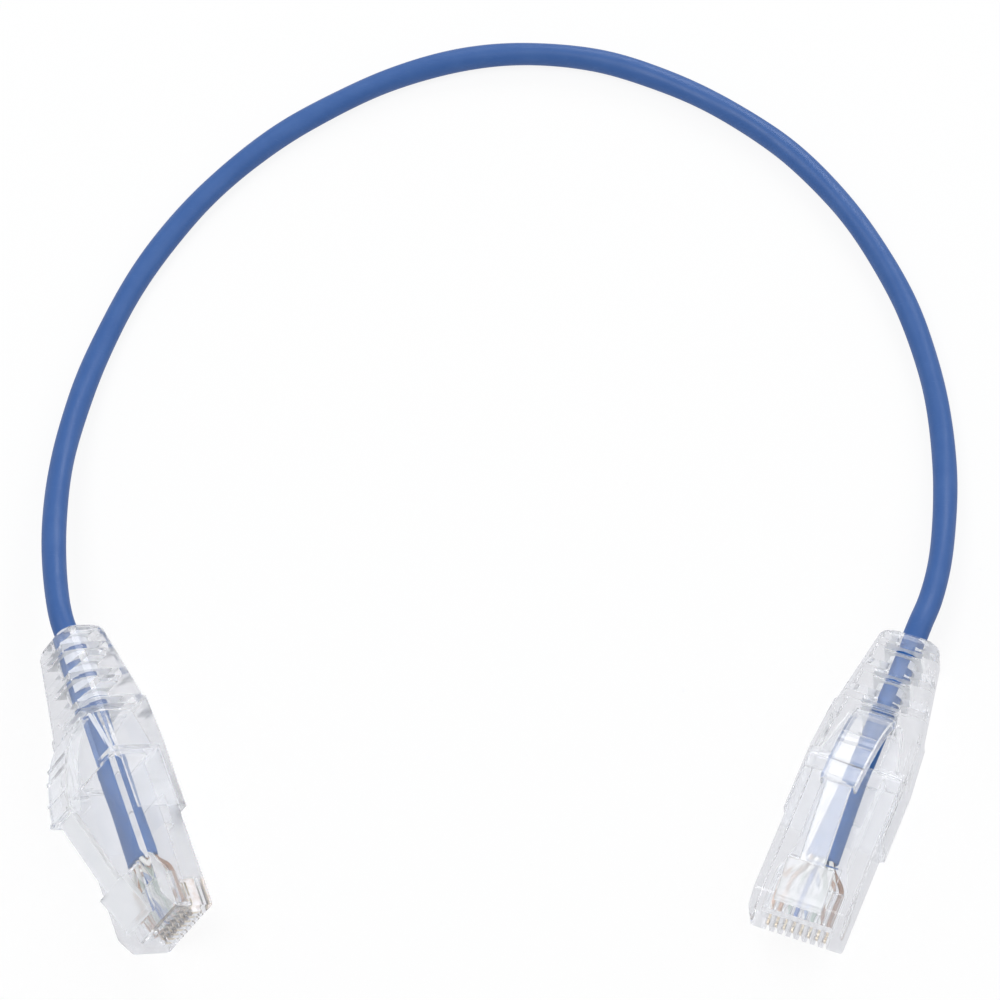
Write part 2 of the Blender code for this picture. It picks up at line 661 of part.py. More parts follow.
def build_boot(tag, parent):
    """The clear slip-on boot."""
    boot = solid(f"boot_{tag}", boot_skin(), CLEAR_BOOT, parent, smooth=True)
    side, top, bottom = boot_sleeve()
    cut(boot, f"pocket_cutter_{tag}", boot_pocket())
    cut(boot, f"boot_hollow_cutter_{tag}", boot_hollow())
    above = top + OVERCUT
    cheeks = [
        (BOOT_CHEEK_FRONT - OVERCUT, BOOT_CHEEK_TOP),
        (BOOT_TOP_FRONT - BOOT_CHEEK_RISE, BOOT_CHEEK_TOP),
        (BOOT_TOP_FRONT, BOOT_CHEEK_TOP + BOOT_CHEEK_RISE),
        (BOOT_TOP_FRONT, above), (BOOT_CHEEK_FRONT - OVERCUT, above),
    ]
    cut(boot, f"cheek_cutter_{tag}", prism(cheeks, -side - OVERCUT, side + OVERCUT))
    slot_half = TONGUE_REAR_WIDTH / 2 + TONGUE_SLOT_GAP
    slot_rear = TONGUE_AXIS_Y + TONGUE_ROOT_RADIUS + TONGUE_SLOT_GAP
    slot_floor = tongue_axis().z - 2 * TONGUE_ROOT_RADIUS
    tongue_slot = block((-slot_half, slot_half), (BOOT_CHEEK_FRONT, slot_rear), (slot_floor, above))
    cut(boot, f"tongue_slot_cutter_{tag}", tongue_slot)
    cut(boot, f"top_window_cutter_{tag}", relief_windows(0))
    cut(boot, f"side_window_cutter_{tag}", relief_windows(1))
    return boot


def latch_tip():
    """The upper corner of the latch tab's free end, as y and z."""
    axis = latch_axis()
    high = LATCH_TAB_THICKNESS - LATCH_UNDERSIDE
    run, rise = math.cos(LATCH_ANGLE), math.sin(LATCH_ANGLE)
    return axis.y + LATCH_LENGTH * run - high * rise, axis.z + LATCH_LENGTH * rise + high * run


def tongue_front():
    """The upper front edge of the tongue, over the latch's tip, as y and z."""
    y, z = latch_tip()
    return y - TONGUE_OVERHANG, z + TONGUE_LATCH_GAP + TONGUE_ROOF


def tongue_crest(t):
    """A point on the tongue's top line: t is 0 at its root and 1 at its front edge."""
    axis = tongue_axis()
    stops = (
        (axis.y, axis.z + TONGUE_ROOT_RADIUS),
        (TONGUE_CREST_Y, TONGUE_CREST_Z),
        tongue_front(),
    )
    weights = ((1 - t) ** 2, 2 * t * (1 - t), t * t)
    return tuple(sum(w * stop[k] for w, stop in zip(weights, stops)) for k in (0, 1))


def tongue_half_width(t):
    """Half the tongue's width at t along it."""
    return (TONGUE_REAR_WIDTH + (TONGUE_FRONT_WIDTH - TONGUE_REAR_WIDTH) * t) / 2


def tongue_section(t, headroom=0.0, side_wall=0.0, drop=0.0):
    """A four-cornered section of the tongue, or of the hollow under its roof."""
    y, top = tongue_crest(t)
    half = tongue_half_width(t) - side_wall
    low = top - TONGUE_SIDE_DEPTH - drop
    high = top - headroom
    return [(half, y, low), (half, y, high), (-half, y, high), (-half, y, low)]


def build_tongue(tag, parent):
    """The hood over the latch tab: a roof with two side walls, grip ridges and a round root."""
    axis = tongue_axis()
    steps = TONGUE_STEPS
    stations = [step / steps for step in range(steps + 1)]
    body = loft([tongue_section(t) for t in stations])
    tongue = solid(f"boot_tongue_{tag}", body, CLEAR_BOOT, parent, axis)
    front = tongue_front()[0]
    start = TONGUE_ROOT_RADIUS / (TONGUE_AXIS_Y - front)
    hollow = [start + (1.0 - start) * step / steps for step in range(steps + 1)]
    rings = [tongue_section(t, TONGUE_ROOF, TONGUE_SIDE_WALL, OVERCUT) for t in hollow]
    rings.append([(x, y - OVERCUT, z) for x, y, z in rings[-1]])
    cut(tongue, f"tongue_hollow_cutter_{tag}", loft(rings))
    root = [
        (axis.y + TONGUE_ROOT_RADIUS * math.cos(a), axis.z + TONGUE_ROOT_RADIUS * math.sin(a))
        for a in (math.tau * i / ROOT_STEPS for i in range(ROOT_STEPS))
    ]
    rear_half = TONGUE_REAR_WIDTH / 2
    add(tongue, f"tongue_root_{tag}", prism(root, -rear_half, rear_half))
    ridges = []
    for t in (*TONGUE_RIDGE_SPOTS, 1.0):
        y, z = tongue_crest(t)
        half = tongue_half_width(t)
        y = max(y, front + TONGUE_RIDGE_WIDTH / 2)
        w = TONGUE_RIDGE_WIDTH / 2
        profile = [
            (y - w, z - TONGUE_ROOF / 2), (y + w, z - TONGUE_ROOF / 2),
            (y + w / 2, z + TONGUE_RIDGE_HEIGHT), (y - w / 2, z + TONGUE_RIDGE_HEIGHT),
        ]
        ridges.append(prism(profile, -half, half))
    add(tongue, f"tongue_ridges_{tag}", join(*ridges))
    return tongue


def rest_height(roll):
    """How high the cable's axis lies when the boot rests on the table at this roll."""
    ring = boot_ring(0.0, *boot_sleeve()) + boot_ring(0.0, *boot_shoulder())
    turn = Matrix.Rotation(roll, 3, "Y")
    return -min((turn @ Vector(point)).z for point in ring)


def place_plug(tag, place):
    """The empty that carries one plug, set down on the table."""
    roll = math.radians(place["roll"])
    empty = bpy.data.objects.new(f"plug_{tag}_frame", None)
    bpy.context.scene.collection.objects.link(empty)
    empty.location = (place["x"], place["y"], rest_height(roll))
    heading = Matrix.Rotation(math.radians(place["heading"]), 3, "Z")
    empty.rotation_euler = (heading @ Matrix.Rotation(roll, 3, "Y")).to_euler()
    return empty


def build_plug(tag, place):
    """One whole plug with its boot, on its own empty."""
    frame = place_plug(tag, place)
    build_housing(tag, frame)
    build_latch(tag, frame)
    build_contacts(tag, frame)
    build_comb(tag, frame)
    build_wires(tag, frame)
    build_jacket_end(tag, frame)
    build_boot(tag, frame)
    build_tongue(tag, frame)
    return frame


def curve_point(p0, p1, p2, p3, t):
    """A point between p1 and p2 on the smooth curve through four points."""
    t0, t1 = 0.0, (p1 - p0).length ** 0.5
    t2 = t1 + (p2 - p1).length ** 0.5
    t3 = t2 + (p3 - p2).length ** 0.5
    t = t1 + (t2 - t1) * t
    a1 = p0.lerp(p1, (t - t0) / (t1 - t0))
    a2 = p1.lerp(p2, (t - t1) / (t2 - t1))
    a3 = p2.lerp(p3, (t - t2) / (t3 - t2))
    b1 = a1.lerp(a2, (t - t0) / (t2 - t0))
    b2 = a2.lerp(a3, (t - t1) / (t3 - t1))
    return b1.lerp(b2, (t - t1) / (t2 - t1))


def smooth_path(route, step):
    """Points at equal steps along the smooth curve through a route."""
    ends = [2 * route[0] - route[1], *route, 2 * route[-1] - route[-2]]
    fine = [
        curve_point(*ends[i:i + 4], k / CURVE_STEPS)
        for i in range(len(ends) - 3) for k in range(CURVE_STEPS)
    ] + [route[-1]]
    lengths = [(b - a).length for a, b in zip(fine, fine[1:])]
    total = sum(lengths)
    count = round(total / step)
    points, walked, index = [fine[0]], 0.0, 0
    for n in range(1, count):
        target = total * n / count
        while walked + lengths[index] < target:
            walked += lengths[index]
            index += 1
        points.append(fine[index].lerp(fine[index + 1], (target - walked) / lengths[index]))
    print(f"cord length {total / MM:.1f} mm")
    return points + [fine[-1]]


def build_cord(frame_a, frame_b):
    """The free cord from boot a over the table to boot b."""
    leads = []
    for frame in (frame_a, frame_b):
        start = Vector((0.0, BOOT_END + SEAT_GAP, 0.0))
        lead = start + Vector((0.0, CORD_LEAD, 0.0))
        leads.append([frame.matrix_world @ start, frame.matrix_world @ lead])
    rest = CORD_DIAMETER / 2 + CORD_TABLE_GAP
    middle = [Vector((x * MM, y * MM, rest + lift * MM)) for x, y, lift in CORD_ROUTE]
    route = leads[0] + middle + leads[1][::-1]
    path = smooth_path(route, CORD_STEP * CORD_DIAMETER)
    tube("cord", path, CORD_DIAMETER, BLUE_JACKET, None, CORD_ROUND_STEPS)


def main():
    """Builds the whole cable."""
    clear_scene()
    frames = [build_plug(tag, place) for tag, place in PLUG_PLACES.items()]
    bpy.context.view_layer.update()
    build_cord(*frames)


main()
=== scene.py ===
"""Ethernet patch cable: finer skins, finishes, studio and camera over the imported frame.

All lengths named with MM are real sizes in millimetres times a thousandth, so in metres.
Every plug is built in its own frame: x across, y towards the cable, z towards the latch.
"""

import logging
import math
from dataclasses import dataclass
from enum import Enum
from typing import Callable

import bmesh
import bpy
from mathutils import Matrix, Vector


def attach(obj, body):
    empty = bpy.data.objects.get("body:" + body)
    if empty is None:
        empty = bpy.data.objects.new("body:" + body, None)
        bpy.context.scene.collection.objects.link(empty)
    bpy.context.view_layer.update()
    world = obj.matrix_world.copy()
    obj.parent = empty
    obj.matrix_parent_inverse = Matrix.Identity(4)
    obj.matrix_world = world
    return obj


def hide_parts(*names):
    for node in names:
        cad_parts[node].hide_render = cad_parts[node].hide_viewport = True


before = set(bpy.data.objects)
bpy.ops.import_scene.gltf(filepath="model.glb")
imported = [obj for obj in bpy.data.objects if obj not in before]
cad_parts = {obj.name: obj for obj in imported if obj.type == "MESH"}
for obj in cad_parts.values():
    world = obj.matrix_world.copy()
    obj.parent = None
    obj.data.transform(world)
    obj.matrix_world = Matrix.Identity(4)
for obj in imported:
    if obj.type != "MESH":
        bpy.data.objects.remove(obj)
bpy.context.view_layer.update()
LOG = logging.getLogger("patch_cable")
MM = 0.001

Colour = tuple[float, float, float]
Place = tuple[float, float, float]
FaceTest = Callable[[Vector, Vector], bool]
Plane = tuple[Vector, Vector]

WHITE: Colour = (1.0, 1.0, 1.0)


# ---------------------------------------------------------------- shader node helpers


class NodeBoard:
    """A node tree with short ways to add and join nodes."""

    def __init__(self, tree: bpy.types.NodeTree) -> None:
        """Keeps the tree that the nodes go into.

        Args:
            tree: The material's, world's or group's node tree.
        """
        self.tree = tree

    def add(self, kind: str, values: dict | None = None, **settings: object) -> bpy.types.Node:
        """Adds a node.

        Args:
            kind: The node's Blender type name, without the leading ShaderNode.
            values: Input names or numbers, each with a number, a colour or another node's output.
            **settings: Properties to set on the node.

        Returns:
            The new node.
        """
        node = self.tree.nodes.new(kind if kind.startswith("Node") else f"ShaderNode{kind}")
        for key, value in settings.items():
            setattr(node, key, value)
        for key, value in (values or {}).items():
            socket = node.inputs[key]
            if isinstance(value, bpy.types.NodeSocket):
                self.join(value, socket)
            else:
                socket.default_value = (*value, 1.0) if socket.type == "RGBA" else value
        return node

    def join(self, source: bpy.types.NodeSocket, target: bpy.types.NodeSocket) -> None:
        """Links an output to an input."""
        self.tree.links.new(source, target)

    def maths(self, operation: str, *values: object) -> bpy.types.NodeSocket:
        """Adds a Math node.

        Args:
            operation: The Math node's operation.
            *values: Its one or two values, each a number or an output socket.

        Returns:
            The node's output.
        """
        return self.add("Math", dict(enumerate(values)), operation=operation).outputs[0]

    def blend(self, share: object, low: object, high: object) -> bpy.types.NodeSocket:
        """Mixes two colours.

        Args:
            share: How much of the second colour, a number or a socket.
            low: The first colour, or a socket.
            high: The second colour, or a socket.

        Returns:
            The mixed colour's output.
        """
        return self.add("Mix", {0: share, 6: low, 7: high}, data_type="RGBA").outputs[2]

    def remap(self, value: bpy.types.NodeSocket, limits: dict[str, float]) -> bpy.types.NodeSocket:
        """Maps a value from one range to another.

        Args:
            value: The value.
            limits: The limits that aren't 0 and 1, by their input names.

        Returns:
            The mapped value's output.
        """
        return self.add("MapRange", {"Value": value, **limits}).outputs["Result"]

    def mix(
        self, share: bpy.types.NodeSocket, first: bpy.types.Node, second: bpy.types.Node
    ) -> bpy.types.Node:
        """Mixes two shaders.

        Args:
            share: How much of the second.
            first: The first shader's node.
            second: The second shader's node.

        Returns:
            The mixing node.
        """
        return self.add("MixShader", {0: share, 1: first.outputs[0], 2: second.outputs[0]})

    def roughen(
        self, shader: bpy.types.Node, mask: bpy.types.NodeSocket, rough: tuple[float, float]
    ) -> None:
        """Lets a mask drive a shader's roughness.

        Args:
            shader: The shader node.
            mask: A socket from 0 to 1.
            rough: The roughness at 0 and at 1.
        """
        self.join(self.remap(mask, {"To Min": rough[0], "To Max": rough[1]}), shader.inputs["Roughness"])

    def emboss(
        self, shader: bpy.types.Node, height: bpy.types.NodeSocket, strength: float, depth: float
    ) -> None:
        """Gives a shader a bump.

        Args:
            shader: The shader node.
            height: The bump's height.
            strength: How strongly it bends the surface.
            depth: How deep it is at a height of 1.
        """
        bump = self.add("Bump", {"Strength": strength, "Distance": depth, "Height": height})
        self.join(bump.outputs["Normal"], shader.inputs["Normal"])

    def show(self, shader: bpy.types.Node) -> None:
        """Sends a shader to the material's output."""
        self.add("OutputMaterial", {"Surface": shader.outputs[0]})


class EffectGroup:
    """A shader node group that several finishes share."""

    def __init__(self, name: str, inputs: dict[str, float], outputs: tuple[str, ...]) -> None:
        """Starts the group with its sockets, which are all numbers.

        Args:
            name: The group's name.
            inputs: Input names with their usual values.
            outputs: Output names.
        """
        self.tree = bpy.data.node_groups.new(name, "ShaderNodeTree")
        self.board = NodeBoard(self.tree)
        add_socket = self.tree.interface.new_socket
        for label, value in inputs.items():
            add_socket(name=label, in_out="INPUT", socket_type="NodeSocketFloat").default_value = value
        for label in outputs:
            add_socket(name=label, in_out="OUTPUT", socket_type="NodeSocketFloat")
        self.inlet = self.board.add("NodeGroupInput")
        self.outlet = self.board.add("NodeGroupOutput")

    def give(self, output: str, value: bpy.types.NodeSocket) -> None:
        """Sends a value to one of the group's outputs."""
        self.board.join(value, self.outlet.inputs[output])

    def noise(self, detail: float, rough: float) -> bpy.types.NodeSocket:
        """Adds a noise of the group's Scale on the object's own coordinates, in metres.

        Args:
            detail: The noise's detail.
            rough: The noise's roughness.

        Returns:
            The noise's factor output.
        """
        noise = self.board.add("TexNoise", {
            "Vector": self.board.add("TexCoord").outputs["Object"],
            "Scale": self.inlet.outputs["Scale"], "Detail": detail, "Roughness": rough,
        })
        return noise.outputs["Fac"]


def moulding_flow_group() -> EffectGroup:
    """Slow waves and sink marks that moulded plastic shows.

    Returns:
        The group, with Height and Patch outputs.
    """
    group = EffectGroup("moulding_flow", {"Scale": 600.0}, ("Height", "Patch"))
    wave = group.noise(detail=2.0, rough=0.45)
    group.give("Height", wave)
    group.give("Patch", group.board.remap(wave, {"From Min": 0.4, "From Max": 0.68}))
    return group


def handling_marks_group() -> EffectGroup:
    """Finger haze and fine rubs from handling.

    Returns:
        The group, with Haze and Rub outputs from 0 to 1.
    """
    group = EffectGroup("handling_marks", {"Scale": 260.0, "Amount": 0.5}, ("Haze", "Rub"))
    board = group.board
    amount = group.inlet.outputs["Amount"]
    haze = board.remap(group.noise(detail=4.0, rough=0.62), {"From Min": 0.46, "From Max": 0.72})
    group.give("Haze", board.maths("MULTIPLY", haze, amount))
    stretch = board.add("Mapping", {
        "Vector": board.add("TexCoord").outputs["Object"],
        "Scale": (1.0, 9.0, 1.0), "Rotation": (0.0, 0.3, 0.5),
    })
    line = board.add("TexNoise", {"Vector": stretch.outputs["Vector"], "Detail": 2.0, "Scale": 900.0})
    rub = board.remap(line.outputs["Fac"], {"From Min": 0.62, "From Max": 0.74})
    group.give("Rub", board.maths("MULTIPLY", rub, amount))
    return group


def skin_grain_group() -> EffectGroup:
    """The fine grain of extruded or satin plastic.

    Returns:
        The group, with Height and Tone outputs.
    """
    group = EffectGroup("skin_grain", {"Scale": 4200.0}, ("Height", "Tone"))
    grain = group.noise(detail=3.0, rough=0.6)
    group.give("Height", grain)
    group.give("Tone", grain)
    return group


# ---------------------------------------------------------------- finishes


class Effects:
    """The shared node groups, each built once."""

    def __init__(self) -> None:
        """Builds the groups."""
        self.flow = moulding_flow_group()
        self.marks = handling_marks_group()
        self.grain = skin_grain_group()

    def place(self, board: NodeBoard, group: EffectGroup, **values: float) -> bpy.types.Node:
        """Puts a group into a material.

        Args:
            board: The material's nodes.
            group: The effect.
            **values: Input names and their values.

        Returns:
            The group node.
        """
        return board.add("Group", values, node_tree=group.tree)


def fresh_material(name: str) -> tuple[bpy.types.Material, NodeBoard]:
    """Starts an empty node material.

    Args:
        name: The material's name.

    Returns:
        The material and its nodes.
    """
    material = bpy.data.materials.new(name)
    material.use_nodes = True
    material.node_tree.nodes.clear()
    return material, NodeBoard(material.node_tree)


@dataclass(frozen=True)
class ClearPlastic:
    """Clear moulded plastic that lets lamps through.

    The gloss is its roughness where it is clean and where it is hazy. The clarity is the share of
    light that goes in, and the coat is the share of its outer shine.
    """

    name: str
    tint: Colour
    streak: Colour
    ior: float
    gloss: tuple[float, float]
    ripple: float
    flow_scale: float
    clarity: float = 0.95
    coat: float = 0.45
    coat_ior: float = 1.5
    coat_rough: float = 0.06
    ripple_depth: float = 0.08 * MM
    rub_share: float = 0.04
    lamp_tint: Colour = (0.96, 0.97, 0.98)

    def build(self, effects: Effects) -> bpy.types.Material:
        """Makes the material.

        Args:
            effects: The shared node groups.

        Returns:
            The material.
        """
        material, board = fresh_material(self.name)
        flow = effects.place(board, effects.flow, Scale=self.flow_scale)
        marks = effects.place(board, effects.marks, Scale=240.0, Amount=0.6)
        shader = board.add("BsdfPrincipled", {
            "Base Color": board.blend(flow.outputs["Patch"], self.tint, self.streak),
            "IOR": self.ior, "Transmission Weight": self.clarity,
            "Coat Weight": self.coat, "Coat IOR": self.coat_ior, "Coat Roughness": self.coat_rough,
        })
        board.roughen(shader, marks.outputs["Haze"], self.gloss)
        rubs = board.maths("MULTIPLY", marks.outputs["Rub"], self.rub_share)
        waves = board.maths("ADD", flow.outputs["Height"], rubs)
        board.emboss(shader, waves, strength=self.ripple, depth=self.ripple_depth)
        through = board.add("BsdfTransparent", {"Color": self.lamp_tint})
        board.show(board.mix(board.add("LightPath").outputs["Is Shadow Ray"], shader, through))
        return material


@dataclass(frozen=True)
class JacketPlastic:
    """The cord's satin extruded jacket, rubbed paler in places."""

    name: str
    colour: Colour
    worn: Colour
    rough: tuple[float, float]
    worn_share: float = 0.35

    def build(self, effects: Effects) -> bpy.types.Material:
        """Makes the material.

        Args:
            effects: The shared node groups.

        Returns:
            The material.
        """
        material, board = fresh_material(self.name)
        grain = effects.place(board, effects.grain, Scale=5200.0)
        flow = effects.place(board, effects.flow, Scale=320.0)
        marks = effects.place(board, effects.marks, Scale=300.0, Amount=0.7)
        shade = board.maths("MULTIPLY", flow.outputs["Patch"], self.worn_share)
        toned = board.blend(shade, self.colour, self.worn)
        shader = board.add("BsdfPrincipled", {
            "Base Color": board.blend(marks.outputs["Rub"], toned, self.worn),
            "IOR": 1.5, "Specular IOR Level": 0.42,
        })
        board.roughen(shader, marks.outputs["Haze"], self.rough)
        board.emboss(shader, grain.outputs["Height"], strength=0.22, depth=0.02 * MM)
        board.show(shader)
        return material


@dataclass(frozen=True)
class Insulation:
    """A conductor's insulation, with a spiral tracer where its colour has one.

    The tracer's turns are counted per metre of wire.
    """

    name: str
    colour: Colour
    tracer: Colour | None = None
    rough: tuple[float, float] = (0.3, 0.5)
    tracer_turns: float = 260.0
    tracer_share: float = 0.34
    mottle_share: float = 0.25
    mottle_tone: float = 0.82

    def build(self, effects: Effects) -> bpy.types.Material:
        """Makes the material.

        Args:
            effects: The shared node groups.

        Returns:
            The material.
        """
        material, board = fresh_material(self.name)
        grain = effects.place(board, effects.grain, Scale=9000.0)
        base = board.blend(
            board.maths("MULTIPLY", grain.outputs["Tone"], self.mottle_share),
            self.colour,
            tuple(tone * self.mottle_tone for tone in self.colour),
        )
        if self.tracer:
            parts = board.add("SeparateXYZ", {0: board.add("UVMap", uv_map="along").outputs["UV"]})
            turn = board.maths("MULTIPLY", parts.outputs["Y"], self.tracer_turns)
            spiral = board.maths("FRACT", board.maths("ADD", parts.outputs["X"], turn))
            stripe = board.maths("LESS_THAN", spiral, self.tracer_share)
            base = board.blend(stripe, base, self.tracer)
        shader = board.add("BsdfPrincipled", {"Base Color": base, "IOR": 1.46})
        board.roughen(shader, grain.outputs["Tone"], self.rough)
        board.emboss(shader, grain.outputs["Height"], strength=0.15, depth=0.01 * MM)
        board.show(shader)
        return material


@dataclass(frozen=True)
class PlatedMetal:
    """Plated or bare metal with fine rolling marks."""

    name: str
    bright: Colour
    deep: Colour
    rough: tuple[float, float]

    def build(self, effects: Effects) -> bpy.types.Material:
        """Makes the material.

        Args:
            effects: The shared node groups.

        Returns:
            The material.
        """
        material, board = fresh_material(self.name)
        grain = effects.place(board, effects.grain, Scale=7000.0)
        marks = effects.place(board, effects.marks, Scale=900.0, Amount=0.9)
        toned = board.blend(marks.outputs["Haze"], self.bright, self.deep)
        shader = board.add("BsdfPrincipled", {"Base Color": toned, "Metallic": 1.0})
        board.roughen(shader, grain.outputs["Tone"], self.rough)
        board.emboss(shader, marks.outputs["Rub"], strength=0.2, depth=0.01 * MM)
        board.show(shader)
        return material


POLISHED = {"tint": (0.975, 0.977, 0.985), "streak": (0.962, 0.965, 0.974)}
SOFTER = {"tint": (0.955, 0.958, 0.968), "streak": (0.935, 0.94, 0.952)}
CLEAR_PLASTICS = (
    ClearPlastic("clear_housing", **POLISHED, ior=1.2, gloss=(0.03, 0.1), ripple=0.02, flow_scale=420.0),
    ClearPlastic(
        "clear_latch", **SOFTER, ior=1.2, gloss=(0.04, 0.12), ripple=0.03, flow_scale=420.0,
        clarity=0.72, coat=0.15,
    ),
    ClearPlastic(
        "clear_hood", **SOFTER, ior=1.2, gloss=(0.04, 0.12), ripple=0.05, flow_scale=520.0,
        clarity=0.86, coat=0.2,
    ),
    ClearPlastic(
        "clear_boot", tint=(0.97, 0.972, 0.98), streak=(0.955, 0.958, 0.967), ior=1.18,
        gloss=(0.05, 0.13), ripple=0.03, flow_scale=520.0, clarity=0.935,
    ),
    ClearPlastic("slot_walls", **POLISHED, ior=1.12, gloss=(0.05, 0.12), ripple=0.03, flow_scale=900.0),
    # Whitish matt finish: the relief's matt faces, and also a painted highlight in the chamber's upper
    # corners.
    ClearPlastic(
        "matt_and_painted_highlight", tint=(0.87, 0.875, 0.89), streak=(0.83, 0.836, 0.855), ior=1.2,
        gloss=(0.34, 0.5), ripple=0.3, flow_scale=900.0, clarity=0.3,
    ),
)
METALS = (
    PlatedMetal("gold_plate", bright=(0.84, 0.75, 0.60), deep=(0.66, 0.53, 0.39), rough=(0.3, 0.5)),
    PlatedMetal("nickel_side", bright=(0.72, 0.70, 0.70), deep=(0.54, 0.44, 0.37), rough=(0.45, 0.6)),
    PlatedMetal("bare_copper", bright=(0.83, 0.45, 0.28), deep=(0.62, 0.30, 0.18), rough=(0.2, 0.4)),
)
JACKETS = (
    JacketPlastic("blue_jacket", (0.034, 0.11, 0.335), worn=(0.054, 0.138, 0.375), rough=(0.42, 0.58)),
    # A darker copy of the blue jacket: painted shade for the jacket inside plug and boot.
    JacketPlastic("painted_shade_jacket", (0.004, 0.082, 0.285), worn=(0.008, 0.098, 0.315), rough=(0.5, 0.62)),
)
PALE: Colour = (0.74, 0.73, 0.70)
INSULATIONS = (
    Insulation("wire_white_orange", PALE, tracer=(0.48, 0.30, 0.20)),
    Insulation("wire_orange", (0.44, 0.27, 0.18)),
    Insulation("wire_white_green", PALE, tracer=(0.46, 0.51, 0.46)),
    Insulation("wire_blue", (0.08, 0.16, 0.42)),
    Insulation("wire_white_blue", PALE, tracer=(0.34, 0.40, 0.55)),
    Insulation("wire_green", (0.40, 0.46, 0.41)),
    Insulation("wire_white_brown", PALE, tracer=(0.36, 0.23, 0.17)),
    Insulation("wire_brown", (0.26, 0.15, 0.10)),
)


class Wardrobe:
    """Every finish of the cable, built once and handed out by name."""

    def __init__(self) -> None:
        """Builds the shared effects and every finish."""
        effects = Effects()
        finishes = (*CLEAR_PLASTICS, *METALS, *JACKETS, *INSULATIONS)
        self.materials = {finish.name: finish.build(effects) for finish in finishes}

    def dress(self, piece: bpy.types.Object, *names: str) -> None:
        """Gives a piece its materials and logs its size.

        Args:
            piece: The piece.
            *names: The finish for each of its slots; the last one fills any slots left.
        """
        slots = piece.data.materials
        for number in range(max(len(slots), len(names))):
            finish = self.materials[names[min(number, len(names) - 1)]]
            if number < len(slots):
                slots[number] = finish
            else:
                slots.append(finish)
        LOG.info("%s: %d faces", piece.name, len(piece.data.polygons))


# ---------------------------------------------------------------- mesh helpers


def link_mesh(name: str, mesh: bpy.types.Mesh) -> bpy.types.Object:
    """Makes an object of a mesh and puts it in the scene."""
    piece = bpy.data.objects.new(name, mesh)
    bpy.context.scene.collection.objects.link(piece)
    return piece


def ease(share: float) -> float:
    """A share from 0 to 1, with a soft start and end."""
    return share * share * (3 - 2 * share)


def ringed_tube(name: str, rings: list[list[Vector]], stations: list[float]) -> bpy.types.Object:
    """Skins rings of points with a closed tube, with a UV map of its turn and its length in metres.

    Args:
        name: The piece's name.
        rings: The points of each ring, in the same order in all of them.
        stations: Each ring's distance along the tube.

    Returns:
        The piece.
    """
    bm = bmesh.new()
    along = bm.loops.layers.uv.new("along")
    sides = len(rings[0])
    corners = [[bm.verts.new(spot) for spot in ring] for ring in rings]
    for i in range(len(rings) - 1):
        for k in range(sides):
            n = (k + 1) % sides
            face = bm.faces.new((corners[i][k], corners[i][n], corners[i + 1][n], corners[i + 1][k]))
            face.smooth = True
            for loop, (u, v) in zip(face.loops, ((k, i), (k + 1, i), (k + 1, i + 1), (k, i + 1))):
                loop[along].uv = (u / sides, stations[v])
    bm.faces.new(list(reversed(corners[0])))
    bm.faces.new(corners[-1])
    bmesh.ops.recalc_face_normals(bm, faces=bm.faces)
    mesh = bpy.data.meshes.new(name)
    bm.to_mesh(mesh)
    bm.free()
    return link_mesh(name, mesh)


def swept_tube(
    name: str,
    path: list[Vector],
    radius: Callable[[float, float], float],
    sides: int,
) -> bpy.types.Object:
    """Sweeps a closed tube along a path.

    Args:
        name: The piece's name.
        path: Points along the centreline.
        radius: Gives the radius for a distance along the path and an angle round it.
        sides: Faces round the tube.

    Returns:
        The piece.
    """
    tangent = (path[1] - path[0]).normalized()
    side = tangent.orthogonal().normalized()
    rings: list[list[Vector]] = []
    stations: list[float] = []
    travelled = 0.0
    for i, spot in enumerate(path):
        ahead = path[min(i + 1, len(path) - 1)] - path[max(i - 1, 0)]
        turn = tangent.rotation_difference(ahead.normalized())
        tangent = ahead.normalized()
        side = (turn @ side).normalized()
        up = tangent.cross(side)
        if i:
            travelled += (spot - path[i - 1]).length
        stations.append(travelled)
        ring = []
        for k in range(sides):
            angle = math.tau * k / sides
            reach = radius(travelled, angle)
            ring.append(spot + (side * math.cos(angle) + up * math.sin(angle)) * reach)
        rings.append(ring)
    return ringed_tube(name, rings, stations)


def spline_point(p0: Vector, p1: Vector, p2: Vector, p3: Vector, t: float) -> Vector:
    """A point of a centripetal Catmull-Rom curve between p1 and p2.

    Args:
        p0: The point before the stretch.
        p1: Its first point.
        p2: Its last point.
        p3: The point after it.
        t: The share of the stretch, from 0 to 1.

    Returns:
        The point.
    """
    knots = [0.0]
    for a, b in ((p0, p1), (p1, p2), (p2, p3)):
        knots.append(knots[-1] + math.sqrt((b - a).length))
    k0, k1, k2, k3 = knots
    k = k1 + (k2 - k1) * t
    a1 = p0 * ((k1 - k) / (k1 - k0)) + p1 * ((k - k0) / (k1 - k0))
    a2 = p1 * ((k2 - k) / (k2 - k1)) + p2 * ((k - k1) / (k2 - k1))
    a3 = p2 * ((k3 - k) / (k3 - k2)) + p3 * ((k - k2) / (k3 - k2))
    b1 = a1 * ((k2 - k) / (k2 - k0)) + a2 * ((k - k0) / (k2 - k0))
    b2 = a2 * ((k3 - k) / (k3 - k1)) + a3 * ((k - k1) / (k3 - k1))
    return b1 * ((k2 - k) / (k2 - k1)) + b2 * ((k - k1) / (k2 - k1))


def smooth_line(stops: list[Vector], steps: int) -> list[Vector]:
    """A smooth curve through points.

    Args:
        stops: The points.
        steps: Steps between two of them.

    Returns:
        The curve's points, with the first and last stop among them.
    """
    first = stops[0] * 2 - stops[1]
    last = stops[-1] * 2 - stops[-2]
    padded = [first, *stops, last]
    line = [stops[0].copy()]
    for i in range(len(stops) - 1):
        for step in range(1, steps + 1):
            line.append(spline_point(*padded[i : i + 4], step / steps))
    return line


